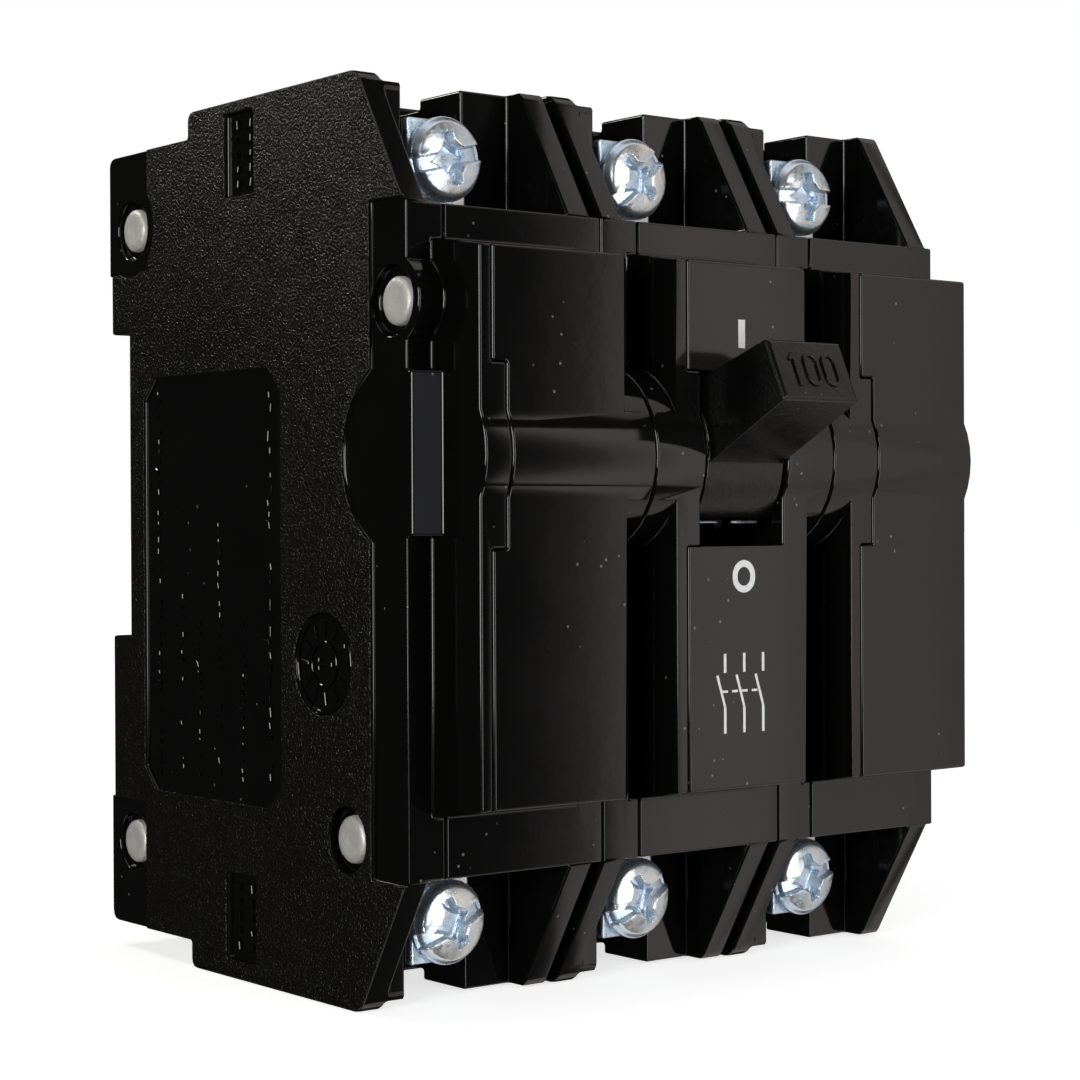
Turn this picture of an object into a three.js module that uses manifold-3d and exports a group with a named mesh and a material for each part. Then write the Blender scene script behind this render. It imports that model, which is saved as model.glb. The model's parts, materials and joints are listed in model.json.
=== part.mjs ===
// Three-pole moulded-case circuit breaker for a 35 mm rail.
// Millimetres, +X across the poles, +Z up, the handle side faces -Y.
// The design frame has y = 0 on the rear tabs, z = 0 at mid height and x = 0 on the middle
// pole. The whole model is then moved so that the origin lies on the rail seat.
import * as THREE from 'three';
import { mergeVertices } from 'three/addons/utils/BufferGeometryUtils.js';
import Module from 'manifold-3d';

const wasm = await Module();
wasm.setup();

// ---------------------------------------------------------------- driving dimensions
// pairs are [low, high] spans; a point in a pole's side view is [y, z]
const PITCH = 25.4;                 // pole to pole
const POLES = [-PITCH, 0, PITCH];
const SIDE = PITCH / 2 - 0.05;      // half width of one pole, leaving a joint line
const PART_X = -7.65;               // where a cover meets its base
const SEAM = 0.05;                  // half of the parting gap
const WALL = 2;
const PLAY = 0.3;                   // running clearance
const DEEP = 1;                     // how far a cutting tool runs past a face

const TOP = 47.9;                   // half of the overall height
const TAB = 44.9;                   // rear tabs reach this far up and down
const TAB_Y = -19;
const CORNER_Y = -52.85;            // front corner of each end
const SHOULDER_Y = -61;             // front of the body between the noses
const SHOULDER_Z = 33.85;
const EASE = 1.2;                   // rounding of the outline's free corners
const EASE_STEPS = 3;

const NOSE_Y = -69;
const NOSE_X = 9.2;                 // half width of a nose
const NOSE_TOP = [29.1, 30.4];      // at its front, at the shoulder
const NOSE_BOTTOM = [-26.3, -27.7];

const RAIL_Y = -5.35;               // floor of the rail slot
const RAIL_Z = [-11.23, 24.06];
const RAIL_SEAT_Z = (RAIL_Z[0] + RAIL_Z[1]) / 2;
const LAND_Y = -1.34;               // lower strips either side of the slot
const LAND_Z = [-30.2, 31];
const LIPS_X = [[-6.4, -2.4], [4, 8]];
const LIP_Z = 22.9;                 // lower edge of the fixed lips
const HOOK_Y = -4.05;               // front of the lips and of the clip's hook

const AXIS = [-60, 8.65];           // handle axis
const BARREL_R = 10;
const OPEN_X = 5.85;                // handle opening, half width
const OPEN_Z = [-0.7, 17.7];
const ON_TILT = THREE.MathUtils.degToRad(24);
const PADDLE_REACH = 21.5;
const DRUM_R = [7.4, 9.6];
const DRUM_FROM = THREE.MathUtils.degToRad(-68);
const DRUM_TO = THREE.MathUtils.degToRad(71);

const POCKET_X = [-9.8, 8.3];       // between the barriers of a terminal
const POCKET_Y = -50.5;             // floor of the pocket right of the wire channel
const CHANNEL_X = [PART_X - SEAM, 2.2];
const CHANNEL_Y = -36;              // back of the wire channel
const FLANGE_Y = -53.8;             // front of the wall left of the wire channel
const FLANGE_TOP = TOP - 1;
const BASE_TOP = TOP - 0.3;
const STEP_Y = -43;                 // the channel's right wall is lower behind this
const STEP_TOP = TOP - 1.4;
const REBATE_X = 11.2;              // right barrier is set back from the pole joint

const SCREW_X = -3;
const SCREW_Z = 39.3;
const HEAD_R = 4.4;
const HEAD_H = 2.3;
const SHANK_R = 2.4;
const SHANK_LONG = 11.3;
const SCREW_HOLE_R = 2.8;
const CLAMP_Y = [-54.3, -53.1];
const STRAP = 1.6;                  // strap thickness
const STRAP_X = [-6.6, 1.15];
const STRAP_Y = -52.8;              // front of a strap under its screw
const STRAP_FOOT = 34.3;            // where it turns back along the pocket's floor
const STRAP_BACK = -46.6;           // front of its run inside the case

const CLIP_X = [-1.5, 6.5];
const CLIP_Y = -3;                  // front face of a rail clip
const CLIP_FOOT = -46.4;
const HOOK_TOP = -9.8;
const FLANGE_Z = [-43, -33.5];      // guide flanges of a rail clip

const RIVETS = [[-5.6, 36], [-59, 24], [-5.2, -35.2], [-50.5, -30.5]];
const RIVET_R = 1.6;
const RIVET_HEAD = [2.5, 0.85];     // radius, height
const RIVET_BOSS_R = 3.4;
const EYELET = { at: [-58.5, 24.1], outer: 4.7, inner: 3.55 };
const CHEEK = { outer: -61.8, inner: -63.1, z: [0.6, 17] };

const RELIEF = 0.4;                 // depth of the outer side's sunk fields
const SIDE_STRIP = { y: [-61.6, -55], z: [-34.1, 34.25] };
const PAD = { y: [-38.1, -8.7], z: [-28.6, 18.5], corner: 2.5 };
const DIAL = { at: [-46.1, -12.7], r: 5.3 };
const END_MARKS = [{ y: [-32.9, -27], z: [37.5, 46.5] }, { y: [-32.6, -26.7], z: [-45.8, -36.3] }];
const TAB_FACES = [{ y: [-9.6, 0.5], z: [31, 45.5] }, { y: [-8.7, 0.5], z: [-45.5, -30.2] }];

const ROOM = { y: [-58.9, -8], z: [-31.5, 31.5] };
const NOSE_ROOM = { y: [-67, -58], z: [-24.5, 27.3] };

const MECH_X = -1.5;                // middle plane of each pole's mechanism
const CRANK = 6;                    // handle axis to link pin
const SHAFT_R = 2.6;
const PIN_R = 1;
const ARM_PIVOT = [-34.9, -6];
const ARM_TILT = THREE.MathUtils.degToRad(10);
const ARM_PIN = 11.3;               // pivot to link pin
const ARM_X = [MECH_X - 1.25, MECH_X + 1.25];
const ARM_TOP = 28.7;
const POST_R = 1.4;
const LINK_X = [MECH_X + 1.6, MECH_X + 2.6];
const LINK_SLOT = 0.8;              // length of the slot at the crank's pin
const SPRING_POST = [-30.5, -25.5];
const TRIP_AXIS = [-22.7, 9];
const TRIP_R = 2;
const ARMATURE_AXIS = [-20.8, -1];

const ROUND = 12;                   // sides of a plain hole or pin
const FINE = 28;                    // sides of a round form on an outer face
const BROAD = 40;                   // sides of the barrel and drum

// ---------------------------------------------------------------- solids
function solidOf(geometry) {
  const plain = geometry.index ? geometry.toNonIndexed() : geometry.clone();
  plain.deleteAttribute('normal');
  plain.deleteAttribute('uv');
  const merged = mergeVertices(plain, 1e-5);
  const mesh = new wasm.Mesh({
    numProp: 3,
    vertProperties: new Float32Array(merged.attributes.position.array),
    triVerts: new Uint32Array(merged.index.array),
  });
  return new wasm.Manifold(mesh);
}

function geometryOf(solid) {
  const mesh = solid.getMesh();
  const geometry = new THREE.BufferGeometry();
  geometry.setAttribute('position', new THREE.BufferAttribute(mesh.vertProperties, 3));
  geometry.setIndex(new THREE.BufferAttribute(mesh.triVerts, 1));
  geometry.computeVertexNormals();
  return geometry;
}

const join = (...solids) => solids.reduce((sum, next) => sum.add(next));
const cut = (solid, ...tools) => tools.reduce((rest, tool) => rest.subtract(tool), solid);
const about = (middle, half) => [middle - half, middle + half];
const grown = ([low, high], by) => [low - by, high + by];

// a closed outline; a corner given as [u, v, ease] is rounded
function shapeOf(points) {
  const shape = new THREE.Shape();
  const corners = points.map(([u, v]) => new THREE.Vector2(u, v));
  corners.forEach((corner, i) => {
    const ease = points[i][2] ?? 0;
    const towards = (other) => other.clone().sub(corner).setLength(ease).add(corner);
    const start = towards(corners.at(i - 1));
    const end = towards(corners[(i + 1) % corners.length]);
    if (i === 0) shape.moveTo(start.x, start.y);
    else shape.lineTo(start.x, start.y);
    if (ease > 0) shape.quadraticCurveTo(corner.x, corner.y, end.x, end.y);
  });
  return shape;
}

const ALONG_X = new THREE.Matrix4().makeBasis(
  new THREE.Vector3(0, 1, 0), new THREE.Vector3(0, 0, 1), new THREE.Vector3(1, 0, 0));

function extrude(shape, depth, curveSegments) {
  return new THREE.ExtrudeGeometry(shape, { depth, bevelEnabled: false, curveSegments });
}

function extrudeX(shape, [x0, x1], segments) {
  const geometry = extrude(shape, x1 - x0, segments).applyMatrix4(ALONG_X);
  return solidOf(geometry.translate(x0, 0, 0));
}

// an outline of [y, z] points, drawn out along x
const plate = (points, xs) => extrudeX(shapeOf(points), xs, EASE_STEPS);

// an outline of [x, y] points, drawn out along z
function column(points, [z0, z1]) {
  return solidOf(extrude(shapeOf(points), z1 - z0, EASE_STEPS).translate(0, 0, z0));
}

function box([x0, x1], [y0, y1], [z0, z1]) {
  const geometry = new THREE.BoxGeometry(x1 - x0, y1 - y0, z1 - z0);
  geometry.translate((x0 + x1) / 2, (y0 + y1) / 2, (z0 + z1) / 2);
  return solidOf(geometry);
}

function rodX([y, z], r, [x0, x1], sides = ROUND) {
  const geometry = new THREE.CylinderGeometry(r, r, x1 - x0, sides);
  geometry.rotateZ(Math.PI / 2);
  geometry.translate((x0 + x1) / 2, y, z);
  return solidOf(geometry);
}

function rodY([x, z], r, [y0, y1], sides = ROUND) {
  const geometry = new THREE.CylinderGeometry(r, r, y1 - y0, sides);
  geometry.translate(x, (y0 + y1) / 2, z);
  return solidOf(geometry);
}

// ring sector about the x axis, its angles measured up from -Y
function sectorX([r0, r1], from, to, xs, segments) {
  const shape = new THREE.Shape();
  shape.absarc(0, 0, r1, Math.PI - to, Math.PI - from, false);
  shape.absarc(0, 0, r0, Math.PI - from, Math.PI - to, true);
  shape.closePath();
  return extrudeX(shape, xs, segments);
}

const mirrorZ = (points) => points.map(([y, z]) => [y, -z]);

// ---------------------------------------------------------------- materials
const material = (color, roughness, metalness) => (
  new THREE.MeshStandardMaterial({ color, roughness, metalness }));
const moulding = () => material(0x17150f, 0.45, 0);
const handleBlack = () => material(0x0f0e0d, 0.3, 0);
const zinc = () => material(0xc9ced3, 0.28, 1);
const rivetSteel = () => material(0xb4b4b0, 0.5, 1);
const tinned = () => material(0xcfccc4, 0.35, 1);
const copper = () => material(0xb5683c, 0.35, 1);
const steel = () => material(0x9a9da0, 0.4, 1);
const clipPlastic = () => material(0x1c1c1c, 0.5, 0);

// ---------------------------------------------------------------- case of one pole
function bodyOutline() {
  return [
    [0, TAB, EASE], [TAB_Y, TAB], [TAB_Y, TOP, EASE], [CORNER_Y, TOP, EASE],
    [SHOULDER_Y, SHOULDER_Z], [SHOULDER_Y, -SHOULDER_Z],
    [CORNER_Y, -TOP, EASE], [TAB_Y, -TOP, EASE], [TAB_Y, -TAB], [0, -TAB, EASE],
    [0, LAND_Z[0]], [LAND_Y, LAND_Z[0]], [LAND_Y, RAIL_Z[0]], [RAIL_Y, RAIL_Z[0]],
    [RAIL_Y, RAIL_Z[1]], [LAND_Y, RAIL_Z[1]], [LAND_Y, LAND_Z[1]], [0, LAND_Z[1]],
  ];
}

function noseOutline() {
  const root = SHOULDER_Y + DEEP;
  return [
    [root, NOSE_TOP[1]], [NOSE_Y, NOSE_TOP[0]], [NOSE_Y, NOSE_BOTTOM[0]], [root, NOSE_BOTTOM[1]],
  ];
}

// outer form before the case is split into base and cover
function outerForm(leftEnd, rightEnd) {
  const span = [leftEnd ? -NOSE_X : -SIDE, rightEnd ? NOSE_X : SIDE];
  const behind = box(about(0, PITCH), [SHOULDER_Y + 2, CHANNEL_Y], [-BARREL_R, TOP]);
  return join(
    plate(bodyOutline(), about(0, SIDE)),
    plate(noseOutline(), about(0, NOSE_X)),
    rodX(AXIS, BARREL_R, span, BROAD).subtract(behind),
  );
}

// cheek and rivet eyelet in front of the shoulder, at an outer side only
function endDress(sign) {
  const xs = (a, b) => (sign < 0 ? [-b, -a] : [a, b]);
  const inner = NOSE_X - 0.2;
  const outer = SIDE - RELIEF;
  const root = SHOULDER_Y + DEEP;
  const cheek = column([
    [sign * outer, root], [sign * outer, CHEEK.outer],
    [sign * inner, CHEEK.inner], [sign * inner, root],
  ], CHEEK.z);
  const eyelet = rodX(EYELET.at, EYELET.outer, xs(inner, outer), FINE);
  const hollow = rodX(EYELET.at, EYELET.inner, xs(outer - 1, SIDE + DEEP), FINE);
  return { add: join(cheek, eyelet), remove: hollow };
}

function padOutline() {
  const [[y0, y1], [z0, z1], c] = [PAD.y, PAD.z, PAD.corner];
  return [
    [y1, z1 - c], [y1 - c, z1], [y0 + c, z1], [y0, z1 - c],
    [y0, z0 + c], [y0 + c, z0], [y1 - c, z0], [y1, z0 + c],
  ];
}

// sunk fields and rivet sinks of an outer side face
function sideRelief(sign) {
  const sunk = (depth) => (sign < 0 ? [-SIDE - DEEP, depth - SIDE] : [SIDE - depth, SIDE + DEEP]);
  const field = sunk(RELIEF);
  const fields = [SIDE_STRIP, ...TAB_FACES].map(({ y, z }) => box(field, y, z));
  const marks = END_MARKS.map(({ y, z }) => box(sunk(RELIEF + 0.2), y, z));
  const sinks = [RIVETS[0], RIVETS[2], RIVETS[3]].map(
    (place) => rodX(place, RIVET_BOSS_R, sunk(RELIEF + 1), FINE));
  return join(...fields, ...marks, ...sinks,
    plate(padOutline(), field),
    rodX(AXIS, BARREL_R, field, BROAD),
    rodX(DIAL.at, DIAL.r, field, BROAD),
    rodX(RIVETS[0], 5.5, field, FINE));
}

// pocket, wire channel and strap slot of one end; the top is +1 and the bottom -1
function terminalCut(end) {
  const above = (z) => (end > 0 ? [z, TOP + DEEP] : [-TOP - DEEP, -z]);
  const front = SHOULDER_Y - DEEP;
  const [left, right] = POCKET_X;
  const [channelLeft, channelRight] = CHANNEL_X;
  const slotZ = [ROOM.z[1] - 0.5, SHOULDER_Z + 0.5];
  return join(
    box([left, right], [front, FLANGE_Y], above(SHOULDER_Z)),
    box([channelLeft, right], [FLANGE_Y - DEEP, POCKET_Y], above(SHOULDER_Z)),
    box(CHANNEL_X, [POCKET_Y - DEEP, CHANNEL_Y], above(SHOULDER_Z)),
    box([left, channelLeft + DEEP], [FLANGE_Y - DEEP, CHANNEL_Y], above(FLANGE_TOP)),
    box([channelRight - DEEP, SIDE + DEEP], [front, CHANNEL_Y], above(BASE_TOP)),
    box([channelRight - DEEP, right], [STEP_Y, CHANNEL_Y - DEEP], above(STEP_TOP)),
    box([REBATE_X, SIDE + DEEP], [front, CHANNEL_Y], above(SHOULDER_Z)),
    box(grown(STRAP_X, PLAY), [STRAP_BACK - 0.4, STRAP_BACK + STRAP + PLAY],
      end > 0 ? slotZ : [-slotZ[1], -slotZ[0]]),
  );
}

// room for the mechanism, with a solid boss left round each rivet that crosses it
function cavity() {
  const room = join(
    box(about(0, SIDE - WALL), ROOM.y, ROOM.z),
    box(about(0, NOSE_X - WALL), NOSE_ROOM.y, NOSE_ROOM.z),
  );
  const bosses = [RIVETS[1], RIVETS[3]].map((place) => rodX(place, RIVET_BOSS_R, about(0, SIDE)));
  return cut(room, ...bosses);
}

// the two fixed lips over the top flange of the rail
function railLips() {
  const root = RAIL_Z[1] + 0.5;
  const lip = [[HOOK_Y, root], [HOOK_Y, LIP_Z], [-2.6, LIP_Z], [LAND_Y, LIP_Z + 0.7], [LAND_Y, root]];
  return LIPS_X.map((xs) => plate(lip, xs));
}

// the seat is sunk under the lips and the clip's hook, so that nothing stands over its flat
function seatRelief() {
  const depth = [RAIL_Y - 0.5, RAIL_Y + 0.1];
  return [
    ...LIPS_X.map((xs) => box(grown(xs, 0.2), depth, [LIP_Z - PLAY, RAIL_Z[1]])),
    box(grown(CLIP_X, PLAY), depth, [RAIL_Z[0], HOOK_TOP + PLAY]),
  ];
}

// T-shaped way for the rail clip, open to the back, the slot and the lower end
function clipWay() {
  const past = [-TOP, RAIL_Z[0] + 0.5];
  const floor = CLIP_Y - 0.2;
  return join(
    box(grown(CLIP_X, PLAY), [floor, DEEP], past),
    box(grown(CLIP_X, PLAY), [HOOK_Y - 0.25, DEEP], [-18.5, past[1]]),
    box(grown(CLIP_X, 1 + PLAY), [floor, floor + 1.4], [past[0], FLANGE_Z[1] + PLAY]),
  );
}

function wholeCase(index) {
  const leftEnd = index === 0;
  const rightEnd = index === POLES.length - 1;
  const ends = [leftEnd ? -1 : 0, rightEnd ? 1 : 0].filter((sign) => sign !== 0);
  const dress = ends.map(endDress);
  const blind = NOSE_X - 1;
  const through = SIDE + DEEP;
  const shaft = [leftEnd ? -blind : -through, rightEnd ? blind : through];
  const form = join(outerForm(leftEnd, rightEnd), ...railLips(), ...dress.map((piece) => piece.add));
  const opened = cut(form,
    cavity(), terminalCut(1), terminalCut(-1), clipWay(), ...seatRelief(),
    ...ends.map(sideRelief), ...dress.map((piece) => piece.remove),
    rodX(AXIS, SHAFT_R + 0.5, shaft),
    rodX(TRIP_AXIS, TRIP_R + 0.4, shaft),
    ...RIVETS.map((place) => rodX(place, RIVET_R + PLAY, about(0, SIDE + DEEP))));
  if (leftEnd || rightEnd) return opened;
  return cut(opened,
    box(about(0, OPEN_X), [NOSE_Y - DEEP, NOSE_ROOM.y[1]], OPEN_Z),
    rodX(AXIS, DRUM_R[1] + 0.25, about(0, OPEN_X), BROAD));
}

// the cover takes everything left of the parting plane, and a tongue beside the handle
function coverRegion(gap) {
  return join(
    box([-PITCH, PART_X - gap], [NOSE_Y - DEEP, DEEP], about(0, TOP + DEEP)),
    box([PART_X - DEEP, -OPEN_X - gap], [NOSE_Y - DEEP, -66.5], grown(OPEN_Z, -gap)),
  );
}

// bearing posts that stand on the base's floor
function posts() {
  const floor = SIDE - WALL + 0.3;
  return [
    rodX(ARM_PIVOT, POST_R, [MECH_X - 2.6, floor]),
    rodX(SPRING_POST, PIN_R, [MECH_X - 1.5, floor]),
  ];
}

function poleCase(index) {
  const form = wholeCase(index);
  const cover = form.intersect(coverRegion(SEAM));
  const base = join(form.subtract(coverRegion(-SEAM)), ...posts());
  return { cover, base };
}

// ---------------------------------------------------------------- terminals
// both straps start round under their screw, turn back along the pocket's floor and enter
// the case through its wall
function strap(run, screwZ) {
  const t = STRAP;
  const there = [[STRAP_Y, SCREW_Z], [STRAP_Y, STRAP_FOOT], [STRAP_BACK, STRAP_FOOT], ...run.front];
  const back = [...run.back, [STRAP_BACK + t, STRAP_FOOT + t], [STRAP_Y + t, STRAP_FOOT + t],
    [STRAP_Y + t, SCREW_Z]];
  const outline = [...there, ...back];
  const ys = [STRAP_Y, STRAP_Y + t];
  const strip = plate(screwZ > 0 ? outline : mirrorZ(outline), STRAP_X);
  const end = rodY([SCREW_X, screwZ], STRAP_X[1] - SCREW_X, ys, FINE);
  return cut(join(strip, end), rodY([SCREW_X, screwZ], SCREW_HOLE_R, grown(ys, DEEP)));
}

function lineTerminal() {
  const foot = 15.5;
  const run = { front: [[STRAP_BACK, foot]], back: [[STRAP_BACK + STRAP, foot]] };
  const contact = box(about(MECH_X, 1.9), [STRAP_BACK + STRAP - 0.1, -43.5], [17.5, 22.5]);
  return join(strap(run, SCREW_Z), contact);
}

function loadTerminal() {
  const low = 28.2;                 // height of the run below the mechanism
  const rear = -18.6;               // front of the upright that holds the bimetal
  const end = 21;
  const run = {
    front: [[STRAP_BACK, low], [rear, low], [rear, end]],
    back: [[rear + STRAP, end], [rear + STRAP, low + STRAP], [STRAP_BACK + STRAP, low + STRAP]],
  };
  return strap(run, -SCREW_Z);
}

// pan head with a cross and a slot, its face towards -Y, on a plain shank
function terminalScrew(z) {
  const face = CLAMP_Y[0] - HEAD_H;
  const profile = [
    [0, 0], [HEAD_R - 1.2, 0.15], [HEAD_R - 0.2, 0.9], [HEAD_R, HEAD_H], [SHANK_R, HEAD_H],
    [SHANK_R, HEAD_H + SHANK_LONG - 0.8], [0, HEAD_H + SHANK_LONG],
  ].map(([r, y]) => new THREE.Vector2(r, y));
  const head = solidOf(new THREE.LatheGeometry(profile, 16).translate(0, face, 0));
  const recess = (xs, depth, zs) => box(xs, [face - DEEP, face + depth], zs);
  return cut(head,
    recess(about(0, 2.3), 1.3, about(0, 0.55)),
    recess(about(0, 0.55), 1.3, about(0, 2.3)),
    recess(about(0, HEAD_R + DEEP), 0.75, about(0, 0.45))).translate([SCREW_X, 0, z]);
}

// D-shaped plate, its straight side towards the left barrier
function clampPlate(z) {
  const sheet = box([CHANNEL_X[0] + 0.4, SCREW_X], CLAMP_Y, about(z, HEAD_R - 0.3));
  const nose = rodY([SCREW_X, z], HEAD_R - 0.1, CLAMP_Y, FINE);
  return cut(join(sheet, nose), rodY([SCREW_X, z], SCREW_HOLE_R, grown(CLAMP_Y, DEEP)));
}

// ---------------------------------------------------------------- handle and cross bar
// both are drawn about the handle axis with the paddle along -Y, and turned up to ON
function crankWeb() {
  const xs = [MECH_X - 4, MECH_X + 1.2];
  const web = plate([
    [-2, 0.5], [-1.8, -CRANK], [-1, -CRANK - 1], [1, -CRANK - 1], [1.8, -CRANK], [2, 0.5]], xs);
  const pin = rodX([0, -CRANK], PIN_R, [xs[1] - 0.2, xs[1] + 1.8]);
  return join(rodX([0, 0], 4.5, xs), web, pin);
}

function handleLever() {
  const root = 8.2;
  const paddle = plate([
    [-root, 4.45], [-PADDLE_REACH, 3.4], [-PADDLE_REACH, -3.4], [-root, -4.45]], about(0, 5.25));
  const drum = sectorX(DRUM_R, DRUM_FROM, DRUM_TO, about(0, OPEN_X - PLAY), 18);
  const web = sectorX([3.5, DRUM_R[0] + 0.2], DRUM_FROM, DRUM_TO, [MECH_X - 4, MECH_X - 2], 10);
  return cut(join(drum, web, paddle, crankWeb()), rodX([0, 0], SHAFT_R + PLAY, about(0, OPEN_X)));
}

function crossBar() {
  const shaft = rodX([0, 0], SHAFT_R, [POLES[0] + MECH_X - 6, POLES[2] + MECH_X + 4]);
  const hubs = [POLES[0], POLES[2]].map((x) => crankWeb().translate([x, 0, 0]));
  return join(shaft, ...hubs);
}

// ---------------------------------------------------------------- moving contact and link
// drawn about the arm's pivot with the arm along +Z, and tilted forward to ON
function contactArm() {
  const blade = plate([[-2.2, 0], [-1.9, ARM_TOP], [2, ARM_TOP], [2.2, 0], [2, -6], [-1, -6]], ARM_X);
  const boss = rodX([0, 0], 3.2, ARM_X);
  const pad = box(grown(ARM_X, 0.35), [-3.4, -1.5], [ARM_TOP - 3.2, ARM_TOP]);
  const pin = rodX([0, ARM_PIN], PIN_R, [MECH_X, MECH_X + 3]);
  return cut(join(blade, boss, pad, pin), rodX([0, 0], POST_R + PLAY, grown(ARM_X, DEEP)));
}

const armPin = [
  ARM_PIVOT[0] - ARM_PIN * Math.sin(ARM_TILT), ARM_PIVOT[1] + ARM_PIN * Math.cos(ARM_TILT)];
const crankPin = [
  AXIS[0] - CRANK * Math.sin(ON_TILT), AXIS[1] - CRANK * Math.cos(ON_TILT)];

// flat link between the crank's pin and the arm's pin, drawn in place; it keeps level as it
// moves, and the slot at the crank takes up the small rise and fall of the crank's pin
function toggleLink() {
  const [y, z] = crankPin;
  const run = [armPin[0] - y, armPin[1] - z];
  const half = 1.3 / Math.hypot(...run);
  const [sy, sz] = [-run[1] * half, run[0] * half];
  const bar = plate([
    [y + sy, z + sz], [y - sy, z - sz],
    [armPin[0] - sy, armPin[1] - sz], [armPin[0] + sy, armPin[1] + sz],
  ], LINK_X);
  const places = [armPin, crankPin, [y, z - LINK_SLOT]];
  const holeR = PIN_R + 0.35;
  const eyes = places.map((place) => rodX(place, 2.2, LINK_X));
  const holes = places.map((place) => rodX(place, holeR, grown(LINK_X, DEEP)));
  const slot = box(grown(LINK_X, DEEP), about(y, holeR - 0.05), [z - LINK_SLOT, z]);
  return cut(join(bar, ...eyes), ...holes, slot);
}

// ---------------------------------------------------------------- arc chute and trip parts
function arcChute() {
  const [left, right] = about(MECH_X, 7);
  const boards = [[left - 0.7, left + 0.2], [right - 0.2, right + 0.7]].map(
    (xs) => box(xs, [-42, -26], [24, 30.8]));
  const count = 6;
  const pitch = 2.8;
  const plates = Array.from({ length: count }, (_, i) => {
    const y = -41.4 + i * pitch;
    const throat = box(about(MECH_X, 2.4), [y - DEEP, y + 2], [24, 27.6]);
    return cut(box([left, right], [y, y + 1.2], [24.3, 30.6]), throat);
  });
  return join(...boards, ...plates);
}

const bimetal = () => box(about(MECH_X, 2.5), [-16.9, -15.9], [-27, 2]);

function magnetYoke() {
  const zs = [-17, -6];
  const back = [-13.9, -12.4];
  const legs = [[MECH_X - 6, MECH_X - 4.5], [MECH_X + 4.5, MECH_X + 6]].map(
    (xs) => box(xs, [-18.2, back[1]], zs));
  return join(box(about(MECH_X, 6), back, zs), ...legs);
}

function armature() {
  const [y, z] = ARMATURE_AXIS;
  const thick = about(y, 0.6);
  return join(
    box(about(MECH_X, 6), thick, [-19, z]),
    box(about(MECH_X, 3), thick, [z - 1, 4]),
    rodX(ARMATURE_AXIS, 0.9, about(MECH_X, 7)),
  );
}

function tripBar() {
  const [y, z] = TRIP_AXIS;
  const shaft = rodX(TRIP_AXIS, TRIP_R, [POLES[0] - 8, POLES[2] + 8]);
  const fingers = POLES.map((x) => box(about(x + MECH_X, 3.5), about(y, 0.7), [0, z]));
  return join(shaft, ...fingers);
}

// ---------------------------------------------------------------- braid and spring
function sweep(curve, radius, sides, steps) {
  const section = new THREE.Shape(Array.from({ length: sides }, (_, i) => {
    const angle = (i / sides) * 2 * Math.PI;
    return new THREE.Vector2(radius * Math.cos(angle), radius * Math.sin(angle));
  }));
  return solidOf(new THREE.ExtrudeGeometry(section, { steps, extrudePath: curve }));
}

function braid() {
  const route = [
    [2.9, -33.2, -10.8], [5.6, -31.5, -13.5], [8.3, -27, -14],
    [8.8, -21.5, -9.5], [8.3, -17.8, -3.5], [4.2, -16.4, -0.8],
  ].map(([x, y, z]) => new THREE.Vector3(MECH_X + x, y, z));
  return sweep(new THREE.CatmullRomCurve3(route), 1.1, 6, 11);
}

class Helix extends THREE.Curve {
  getPoint(t) {
    const [turns, radius, long] = [4.5, 1.6, 10];
    const angle = t * turns * 2 * Math.PI;
    return new THREE.Vector3(
      MECH_X + radius * Math.cos(angle),
      SPRING_POST[0] - 0.1 + radius * Math.sin(angle),
      SPRING_POST[1] + 1.9 + long * t,
    );
  }
}

const mainSpring = () => sweep(new Helix(), 0.35, 4, 36);

// ---------------------------------------------------------------- rail clip and rivets
function railClip() {
  const rear = -0.5;
  const ramp = -1.5;
  const body = box(CLIP_X, [CLIP_Y, rear], [CLIP_FOOT, -11.7]);
  const flanges = box(grown(CLIP_X, 1), [CLIP_Y, CLIP_Y + 1], FLANGE_Z);
  const hook = plate([[HOOK_Y, -14.5], [HOOK_Y, HOOK_TOP], [HOOK_Y + 1, HOOK_TOP], [ramp, -11],
    [ramp, -14.5]], CLIP_X);
  const eye = box(grown(CLIP_X, -2), [CLIP_Y - 2, DEEP], [CLIP_FOOT + 2.4, CLIP_FOOT + 4.9]);
  return cut(join(body, flanges, hook), eye);
}

function rivet(place) {
  const far = POLES[2] + SIDE - 0.45;
  const [r, high] = RIVET_HEAD;
  return join(
    rodX(place, RIVET_R, about(0, far - PLAY)),
    rodX(place, r, [-far, high - far]),
    rodX(place, r, [far - high, far]),
  );
}

// ---------------------------------------------------------------- assembly
const breaker = new THREE.Group();
const frame = new THREE.Group();
frame.position.set(0, -RAIL_Y, -RAIL_SEAT_Z);
breaker.add(frame);

function add(name, solid, look, x = 0, parent = frame) {
  const mesh = new THREE.Mesh(geometryOf(solid), look);
  mesh.name = name;
  mesh.position.x = x;
  parent.add(mesh);
}

function turned([y, z], tilt) {
  const group = new THREE.Group();
  group.position.set(0, y, z);
  group.rotation.x = tilt;
  frame.add(group);
  return group;
}

const handleGroup = turned(AXIS, -ON_TILT);
const armGroup = turned(ARM_PIVOT, ARM_TILT);

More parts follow.
